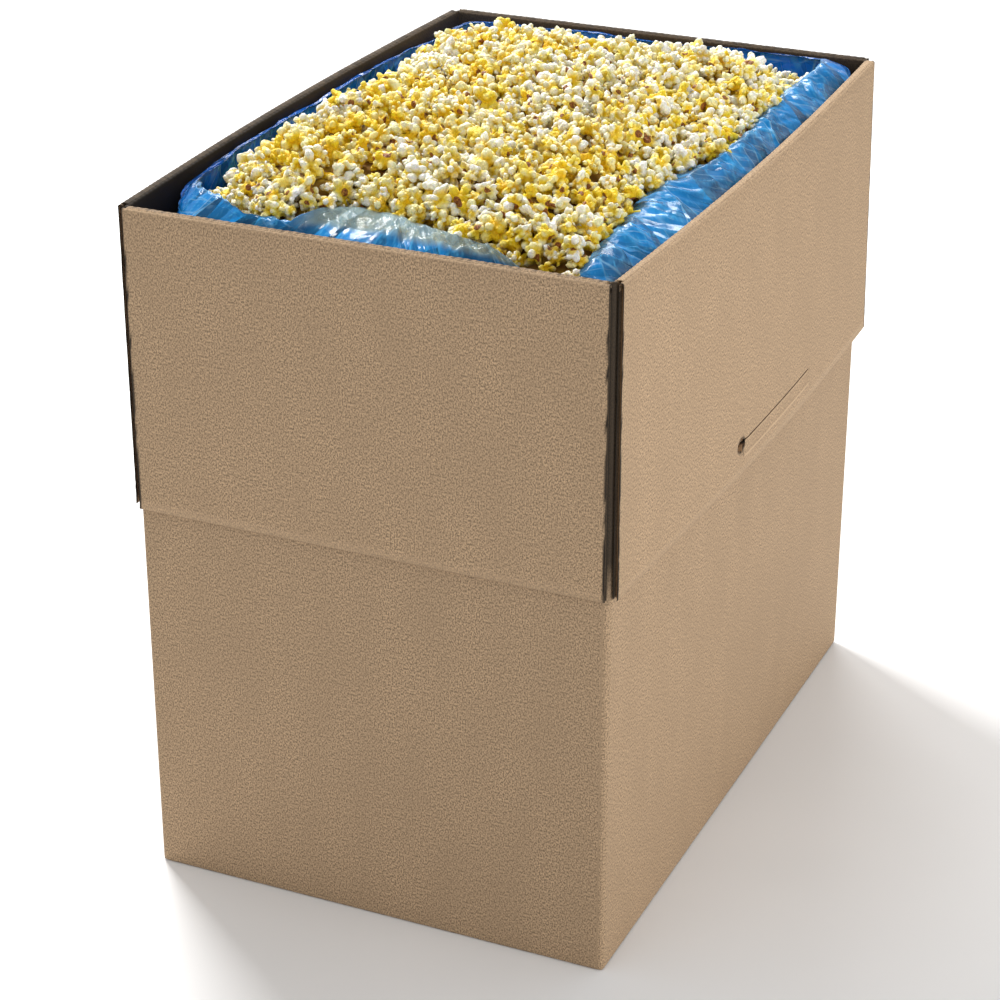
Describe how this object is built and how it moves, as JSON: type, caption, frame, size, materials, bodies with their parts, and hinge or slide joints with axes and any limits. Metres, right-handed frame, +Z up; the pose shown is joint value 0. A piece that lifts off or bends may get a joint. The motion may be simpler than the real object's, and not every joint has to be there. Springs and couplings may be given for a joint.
{
  "type": "lined carton of popcorn",
  "caption": "Tall corrugated carton with its top flaps folded down outside, lined with a blue film bag and heaped full of popcorn.",
  "frame": {"origin": "middle of the carton's underside, on the surface that it stands on", "axes": "+X across the carton's narrow side, -Y out of the narrow front wall, +Z up"},
  "size_m": [0.4314, 0.61, 0.6337],
  "materials": {
    "carton_board": "matt kraft paper over corrugated board",
    "flap_board": "matt kraft paper over corrugated board",
    "blue_film": "crumpled glossy translucent film",
    "popcorn": "matt popped corn, white and yellow with brown hulls"
  },
  "bodies": {
    "carton": {"carton_body": "carton_board", "liner_bag": "blue_film", "popcorn": "popcorn"},
    "front_flap": {"flap_front": "flap_board"},
    "back_flap": {"flap_back": "flap_board"},
    "left_flap": {"flap_left": "flap_board"},
    "right_flap": {"flap_right": "flap_board"}
  },
  "joints": [
    {"name": "front_flap_hinge", "type": "hinge", "parent": "carton", "child": "front_flap", "pos_m": [0, -0.3005, 0.5806], "axis": [-1, 0, 0], "range_deg": [0, 180]},
    {"name": "back_flap_hinge", "type": "hinge", "parent": "carton", "child": "back_flap", "pos_m": [0, 0.3005, 0.5806], "axis": [1, 0, 0], "range_deg": [0, 180]},
    {"name": "left_flap_hinge", "type": "hinge", "parent": "carton", "child": "left_flap", "pos_m": [-0.2045, 0, 0.5806], "axis": [0, 1, 0], "range_deg": [0, 180]},
    {"name": "right_flap_hinge", "type": "hinge", "parent": "carton", "child": "right_flap", "pos_m": [0.2045, 0, 0.5806], "axis": [0, -1, 0], "range_deg": [0, 180]}
  ]
}
